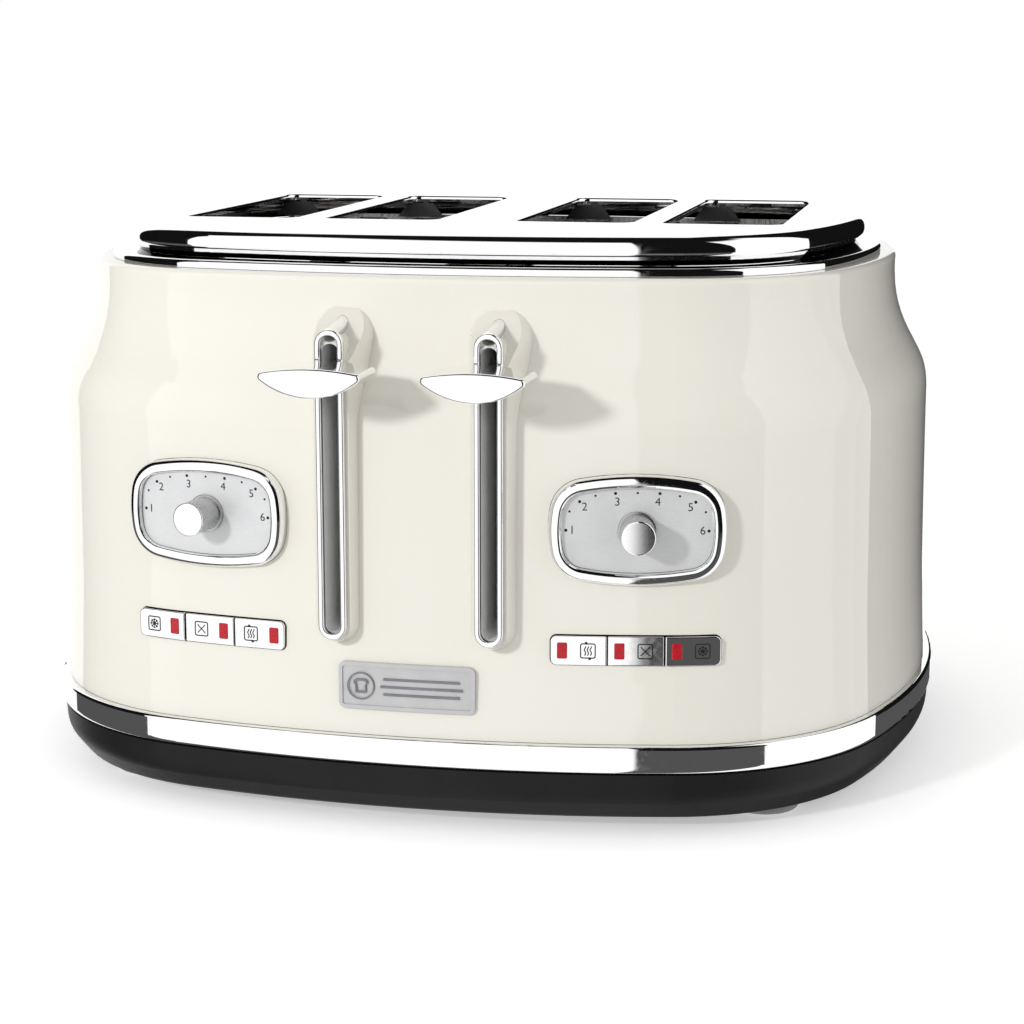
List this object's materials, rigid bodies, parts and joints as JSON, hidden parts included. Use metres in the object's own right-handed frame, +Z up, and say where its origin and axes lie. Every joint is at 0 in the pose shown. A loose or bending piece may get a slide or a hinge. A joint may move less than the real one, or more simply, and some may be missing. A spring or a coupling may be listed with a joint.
{
  "type": "pop up toaster",
  "caption": "Wide bread toaster with rounded cream body, chrome top with long slots, paired chrome levers in vertical tracks, oval browning dials, push buttons and dark base.",
  "frame": {"origin": "on the standing surface, under the middle of the bounding box", "axes": "+Z up; the controls face -Y; +X is to the viewer's right when facing the controls"},
  "size_m": [0.33, 0.3258, 0.1972],
  "materials": {
    "cream_enamel": "gloss",
    "chrome": "polished",
    "base_plastic": "satin",
    "dark_plastic": "satin",
    "foot_rubber": "matte",
    "zinc_steel": "satin",
    "rack_steel": "satin",
    "guide_steel": "satin",
    "tray_steel": "satin",
    "spring_steel": "satin",
    "magnet_steel": "satin",
    "badge_metal": "satin",
    "dial_metal": "satin",
    "red_lens": "gloss",
    "circuit_board": "matte",
    "mica": "matte",
    "heater_wire": "satin"
  },
  "bodies": {
    "casing": {"body_shell": "cream_enamel", "top_cover": "chrome", "top_trim_ring": "chrome", "base_trim_band": "chrome", "base_pan": "base_plastic", "feet": "foot_rubber", "base_screws": "zinc_steel", "cord_gland": "foot_rubber", "badge_plate": "badge_metal", "lever_surround_left": "cream_enamel", "track_frame_left": "chrome", "return_spring_left": "spring_steel", "dial_bezel_left": "chrome", "dial_face_left": "dial_metal", "lever_surround_right": "cream_enamel", "track_frame_right": "chrome", "return_spring_right": "spring_steel", "dial_bezel_right": "chrome", "dial_face_right": "dial_metal", "track_liners": "dark_plastic", "potentiometers": "dark_plastic", "control_boards": "circuit_board", "button_holders": "dark_plastic", "guide_rods": "chrome", "rod_brackets": "zinc_steel", "latch_magnets": "magnet_steel", "oven_front": "zinc_steel", "oven_rear": "zinc_steel", "slot_hangers": "magnet_steel", "heater_boards": "mica", "heater_ribbons": "heater_wire", "reflectors": "zinc_steel"},
    "carriage_left": {"lever_handle_left": "chrome", "carriage_left": "zinc_steel", "bread_racks_left": "rack_steel", "latch_keeper_left": "magnet_steel"},
    "knob_left": {"dial_knob_left": "chrome"},
    "tray_left": {"crumb_tray_left": "tray_steel"},
    "reheat_button_left": {"reheat_button_left": "chrome", "reheat_lens_left": "red_lens"},
    "cancel_button_left": {"cancel_button_left": "chrome", "cancel_lens_left": "red_lens"},
    "defrost_button_left": {"defrost_button_left": "chrome", "defrost_lens_left": "red_lens"},
    "inner_guides_left": {"inner_guides_left": "guide_steel"},
    "outer_guides_left": {"outer_guides_left": "guide_steel"},
    "carriage_right": {"lever_handle_right": "chrome", "carriage_right": "zinc_steel", "bread_racks_right": "rack_steel", "latch_keeper_right": "magnet_steel"},
    "knob_right": {"dial_knob_right": "chrome"},
    "tray_right": {"crumb_tray_right": "tray_steel"},
    "reheat_button_right": {"reheat_button_right": "chrome", "reheat_lens_right": "red_lens"},
    "cancel_button_right": {"cancel_button_right": "chrome", "cancel_lens_right": "red_lens"},
    "defrost_button_right": {"defrost_button_right": "chrome", "defrost_lens_right": "red_lens"},
    "inner_guides_right": {"inner_guides_right": "guide_steel"},
    "outer_guides_right": {"outer_guides_right": "guide_steel"}
  },
  "joints": [
    {"name": "lever_left_slide", "type": "slide", "parent": "casing", "child": "carriage_left", "axis": [0, 0, 1], "range_m": [-0.077, 0.0045], "stiffness_N_per_m": 30, "springref_m": 0.0522, "deforming": ["return_spring_left"]},
    {"name": "lever_right_slide", "type": "slide", "parent": "casing", "child": "carriage_right", "axis": [0, 0, 1], "range_m": [-0.077, 0.0045], "stiffness_N_per_m": 30, "springref_m": 0.0522, "deforming": ["return_spring_right"]},
    {"name": "knob_left_turn", "type": "hinge", "parent": "casing", "child": "knob_left", "pos_m": [-0.073, -0.12551, 0.1042], "axis": [0.1758, 0.9844, 0], "range_deg": [0, 180]},
    {"name": "knob_right_turn", "type": "hinge", "parent": "casing", "child": "knob_right", "pos_m": [0.073, -0.12551, 0.1042], "axis": [-0.1758, 0.9844, 0], "range_deg": [0, 180]},
    {"name": "reheat_left_press", "type": "slide", "parent": "casing", "child": "reheat_button_left", "axis": [0.1307, 0.9914, 0], "range_m": [0, 0.0015], "stiffness_N_per_m": 900, "springref_m": -0.0004},
    {"name": "cancel_left_press", "type": "slide", "parent": "casing", "child": "cancel_button_left", "axis": [0.1756, 0.9845, 0], "range_m": [0, 0.0015], "stiffness_N_per_m": 900, "springref_m": -0.0004},
    {"name": "defrost_left_press", "type": "slide", "parent": "casing", "child": "defrost_button_left", "axis": [0.2795, 0.9602, 0], "range_m": [0, 0.0015], "stiffness_N_per_m": 900, "springref_m": -0.0004},
    {"name": "reheat_right_press", "type": "slide", "parent": "casing", "child": "reheat_button_right", "axis": [-0.1307, 0.9914, 0], "range_m": [0, 0.0015], "stiffness_N_per_m": 900, "springref_m": -0.0004},
    {"name": "cancel_right_press", "type": "slide", "parent": "casing", "child": "cancel_button_right", "axis": [-0.1756, 0.9845, 0], "range_m": [0, 0.0015], "stiffness_N_per_m": 900, "springref_m": -0.0004},
    {"name": "defrost_right_press", "type": "slide", "parent": "casing", "child": "defrost_button_right", "axis": [-0.2795, 0.9602, 0], "range_m": [0, 0.0015], "stiffness_N_per_m": 900, "springref_m": -0.0004},
    {"name": "tray_left_slide", "type": "slide", "parent": "casing", "child": "tray_left", "axis": [0, 1, 0], "range_m": [0, 0.19]},
    {"name": "tray_right_slide", "type": "slide", "parent": "casing", "child": "tray_right", "axis": [0, 1, 0], "range_m": [0, 0.19]},
    {"name": "inner_guides_left_slide", "type": "slide", "parent": "casing", "child": "inner_guides_left", "axis": [-1, 0, 0], "range_m": [-0.00048, 0.00801]},
    {"name": "outer_guides_left_slide", "type": "slide", "parent": "casing", "child": "outer_guides_left", "axis": [1, 0, 0], "range_m": [-0.00048, 0.00801]},
    {"name": "inner_guides_right_slide", "type": "slide", "parent": "casing", "child": "inner_guides_right", "axis": [1, 0, 0], "range_m": [-0.00048, 0.00801]},
    {"name": "outer_guides_right_slide", "type": "slide", "parent": "casing", "child": "outer_guides_right", "axis": [-1, 0, 0], "range_m": [-0.00048, 0.00801]}
  ],
  "couplings": [
    {"joint": "inner_guides_left_slide", "follows": "lever_left_slide", "ratio": -0.1039},
    {"joint": "outer_guides_left_slide", "follows": "lever_left_slide", "ratio": -0.1039},
    {"joint": "inner_guides_right_slide", "follows": "lever_right_slide", "ratio": -0.1039},
    {"joint": "outer_guides_right_slide", "follows": "lever_right_slide", "ratio": -0.1039}
  ]
}
